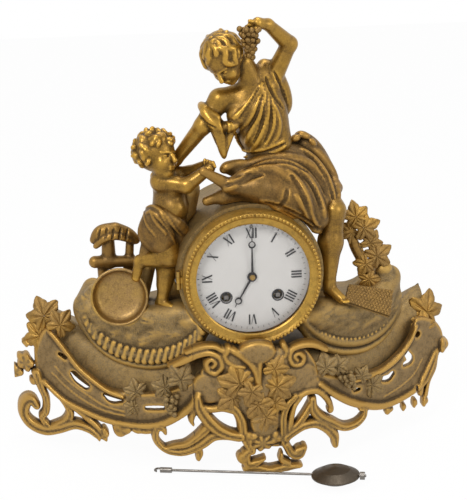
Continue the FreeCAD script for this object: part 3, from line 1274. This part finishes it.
barrel_front = front_plate_back + size.end_play
for label, (x, rise) in zip(("going_barrel", "strike_barrel"), winding_places):
    barrel = toothed_disc(84, size.barrel_radius + size.tooth_height, size.barrel_radius,
                          barrel_front, size.wheel_thickness, crossings=0)
    barrel = barrel.fuse(about_axis(size.barrel_radius - size.tooth_height, barrel_front,
                                    barrel_front + size.barrel_length))
    barrel = barrel.cut(about_axis(arbor_bore, drum_front, drum_back))
    casting(label, at_dial(barrel, x, rise))

for label, (x, rise) in zip(("winding_arbor_going", "winding_arbor_strike"), winding_places):
    body = new_body(label)
    half_square = size.winding_square / 2
    add_pad(body, label + "_round", circles((size.winding_arbor_radius, x, rise)), drum_front,
            back_plate_back - drum_front)
    add_pad(body, label + "_square", outline_of(
        (x - half_square, rise - half_square), (x + half_square, rise - half_square),
        (x + half_square, rise + half_square), (x - half_square, rise + half_square)),
        square_front, drum_front - square_front)
    place(body, z=size.dial_height)

body = new_body("regulator_arbor")
regulator_back = back_plate_back + size.movement_plate * 2
add_pad(body, "regulator_round", circles((size.regulator_radius, 0, size.regulator_rise)),
        square_front, regulator_back - square_front)
place(body, z=size.dial_height)


def train_wheel(label, x, rise, teeth, tip, wheel_front, pinion_span, arbor, arbor_span,
                bore=None):
    """A crossed-out wheel with its pinion and arbor; spans are (front, back) depths."""
    shape = toothed_disc(teeth, tip, tip - size.tooth_height, wheel_front,
                         size.wheel_thickness)
    shape = shape.fuse(about_axis(tip * 0.34, wheel_front, wheel_front + size.wheel_thickness))
    if pinion_span:
        shape = shape.fuse(about_axis(size.pinion_radius, *pinion_span))
    shape = shape.fuse(about_axis(arbor, *arbor_span))
    if bore:
        shape = shape.cut(about_axis(bore, drum_front - total_depth, drum_back))
    return casting(label, at_dial(shape, x, rise))


gap = size.movement_gap
pivot_front = front_plate_front + size.end_play
pivot_back = back_plate_back - size.end_play
centre_wheel_front = front_plate_back + gap * 0.80
third_wheel_front = front_plate_back + gap * 0.50
escape_wheel_front = front_plate_back + gap * 0.66
train_wheel("centre_wheel", 0, 0, 80, size.centre_wheel_radius, centre_wheel_front,
            (front_plate_front - size.wheel_thickness * 2.4,
             front_plate_front - size.wheel_thickness * 1.2),
            size.centre_arbor_radius, (minute_hand_front, pivot_back))
train_wheel("third_wheel", third_x, third_z, 64, size.third_wheel_radius, third_wheel_front,
            (centre_wheel_front - size.wheel_thickness,
             centre_wheel_front + size.wheel_thickness * 2),
            size.pivot_radius, (pivot_front, pivot_back))
train_wheel("escape_wheel", 0, size.escape_rise, 30, size.escape_wheel_radius,
            escape_wheel_front,
            (third_wheel_front - size.wheel_thickness,
             third_wheel_front + size.wheel_thickness * 2),
            size.pivot_radius, (pivot_front, pivot_back))
hour_wheel_front = drum_front + size.plate_thickness
motion_front = front_plate_front - size.wheel_thickness * 2.3
train_wheel("minute_wheel", -motion_x, 0, 36, size.motion_wheel_radius, motion_front,
            (hour_wheel_front, motion_front), size.pivot_radius,
            (hour_wheel_front, front_plate_back))
train_wheel("hour_wheel", 0, 0, 40, size.motion_wheel_radius, hour_wheel_front, None,
            size.hour_pipe_radius, (hour_hand_front, hour_wheel_front + size.wheel_thickness),
            bore=size.centre_arbor_radius + size.running_fit)

# Pallets with their crutch, and the striking work
anchor_thickness = size.wheel_thickness
anchor_reach = size.escape_wheel_radius
pallets = about_axis(size.pivot_radius * 2, escape_wheel_front,
                     escape_wheel_front + anchor_thickness)
for side in (-1, 1):
    arm_end = Vector(side * anchor_reach * 0.875, escape_wheel_front + anchor_thickness / 2,
                     -(size.pallet_rise - size.escape_rise) * 0.45)
    arm_start = Vector(0, escape_wheel_front + anchor_thickness / 2, 0)
    pallets = pallets.fuse(rod(arm_start, arm_end, anchor_thickness / 2))
pallets = pallets.fuse(about_axis(size.pivot_radius, pivot_front,
                                  back_plate_back + anchor_thickness * 3))
crutch_depth = back_plate_back + anchor_thickness * 2
crutch_foot = Vector(0, crutch_depth, -size.crutch_length)
pallets = pallets.fuse(rod(Vector(0, crutch_depth, 0), crutch_foot, anchor_thickness / 2))
pallets = pallets.fuse(rod(crutch_foot, crutch_foot + Vector(0, size.bell_standoff / 2, 0),
                           anchor_thickness / 2))
casting("pallets_crutch", at_dial(pallets, 0, size.pallet_rise))

bell_mouth = back_plate_back + size.bell_standoff
bell_top = bell_mouth + size.bell_depth
bell_bore = size.bell_post_radius + size.seam
wall = size.bell_wall
turned("bell", [
    (size.bell_radius - wall, bell_mouth), (size.bell_radius, bell_mouth),
    (size.bell_radius * 0.92, bell_mouth + size.bell_depth * 0.4),
    (size.bell_radius * 0.60, bell_mouth + size.bell_depth * 0.88),
    (size.bell_radius * 0.30, bell_top), (bell_bore, bell_top), (bell_bore, bell_top - wall),
    (size.bell_radius * 0.28, bell_top - wall),
    (size.bell_radius * 0.57, bell_mouth + size.bell_depth * 0.88 - wall),
    (size.bell_radius * 0.92 - wall, bell_mouth + size.bell_depth * 0.4 - wall * 0.4)],
    z=size.dial_height - size.bell_drop)
post = about_axis(size.bell_post_radius, back_plate_back, bell_top + wall)
post = post.fuse(about_axis(size.bell_post_radius * 1.6, back_plate_back, bell_top - wall))
post = post.fuse(about_axis(size.bell_post_radius * 1.8, bell_top, bell_top + wall))
cock_width = size.regulator_radius * 8
cock = upright_box(cock_width, size.bell_standoff * 0.8, cock_width * 0.7, 0,
                   back_plate_back, size.regulator_rise)
cock = cock.cut(Part.makeCylinder(size.regulator_radius + size.running_fit, total_depth,
                                  Vector(0, drum_front, size.regulator_rise),
                                  Vector(0, 1, 0)))
cock.translate(Vector(0, 0, size.dial_height))
casting("bell_and_suspension_cocks", Part.makeCompound([
    at_dial(post, 0, -size.bell_drop), cock]), pieces=2)

hammer_depth = bell_mouth + size.hammer_head_radius
head_reach = size.bell_radius + size.hammer_head_radius + size.hammer_rest_gap
HEAD_TURN = -20
head_turn = math.radians(HEAD_TURN)
head = Vector(head_reach * math.cos(head_turn) - size.hammer_offset, hammer_depth,
              head_reach * math.sin(head_turn) - size.bell_drop + size.hammer_drop)
hammer = about_axis(size.pivot_radius, pivot_front, hammer_depth)
hammer = hammer.fuse(about_axis(size.hammer_head_radius, hammer_depth - size.hammer_arm,
                                hammer_depth + size.hammer_arm))
arm_length = math.hypot(head.x, head.z)
arm = Part.makeBox(arm_length, size.hammer_arm, size.hammer_arm,
                   Vector(0, hammer_depth - size.hammer_arm / 2, -size.hammer_arm / 2))
arm.rotate(Vector(0, 0, 0), Vector(0, 1, 0), -math.degrees(math.atan2(head.z, head.x)))
knob = about_axis(size.hammer_head_radius, hammer_depth - size.hammer_head_radius,
                  hammer_depth + size.hammer_head_radius)
knob.translate(Vector(head.x, 0, head.z))
hammer = hammer.fuse(arm).fuse(knob)
casting("bell_hammer", at_dial(hammer, size.hammer_offset, -size.hammer_drop))

# The pendulum, taken off its hook and laid on the table before the clock
rest_height = size.bob_thickness / 2
tilt = math.degrees(math.asin((rest_height - size.hook_block_radius) / size.pendulum_reach))
laid = FreeCAD.Placement(
    Vector(size.pendulum_x, -size.pendulum_y, rest_height),
    FreeCAD.Rotation(Vector(0, 0, 1), size.pendulum_yaw).multiply(
        FreeCAD.Rotation(Vector(0, 1, 0), -tilt)))
hook_end = -float(size.pendulum_reach)
along_x = Vector(1, 0, 0)
pendulum = Part.makeCylinder(size.rod_radius, size.pendulum_reach + size.rod_tail,
                             Vector(hook_end, 0, 0), along_x)
pendulum = pendulum.fuse(Part.makeCylinder(size.hook_block_radius, size.hook_block_length,
                                           Vector(hook_end, 0, 0), along_x))
hook = Part.makeTorus(size.hook_radius, size.hook_wire / 2,
                      Vector(hook_end - size.hook_radius * 0.6, 0, 0), Vector(0, 0, 1),
                      -180, 180, 250)
pendulum = pendulum.fuse(hook)
nut_start = size.bob_radius + size.end_play
pendulum = pendulum.fuse(Part.makeCylinder(
    size.rating_nut_radius, size.rating_nut_length, Vector(nut_start, 0, 0), along_x))
pendulum.Placement = laid.multiply(pendulum.Placement)
casting("pendulum_rod", pendulum)
body = new_body("pendulum_bob")
sketch = new_sketch(body, "XZ_Plane")
half_edge = size.bob_edge / 2
draw_outline(sketch, [
    (0, -size.bob_thickness / 2), (size.bob_radius * 0.6, -size.bob_thickness * 0.34),
    (size.bob_radius, -half_edge), (size.bob_radius, half_edge),
    (size.bob_radius * 0.6, size.bob_thickness * 0.34), (0, size.bob_thickness / 2)])
turn = body.newObject("PartDesign::Revolution", "pendulum_bob_turn")
turn.Profile = sketch
turn.ReferenceAxis = (sketch, ["V_Axis"])
turn.Angle = 360
doc.recompute()
bore_sketch = body.newObject("Sketcher::SketchObject", "rod_bore_sketch")
bore_sketch.AttachmentSupport = [(origin_plane(body, "YZ_Plane"), "")]
bore_sketch.MapMode = "FlatFace"
draw_circle(bore_sketch, size.rod_radius + size.running_fit)
bore = body.newObject("PartDesign::Pocket", "rod_bore")
bore.Profile = bore_sketch
bore.SideType = "Symmetric"
bore.setExpression("Length", words(size.bob_radius * 2 + size.overrun))
body.Placement = laid

doc.recompute()
for obj in doc.Objects:
    if "Invalid" in obj.State or "Error" in obj.State:
        raise ValueError(f"{obj.Label} is {obj.State}")
faulty = [label for label, obj in nodes.items()
          if obj.Shape.isNull() or not obj.Shape.isValid()]
if faulty:
    raise ValueError(f"no valid shape: {', '.join(faulty)}")

os.makedirs("parts", exist_ok=True)
for label, obj in nodes.items():
    obj.Shape.exportStep(f"parts/{label}.step")
print(len(nodes), "sub-parts written")
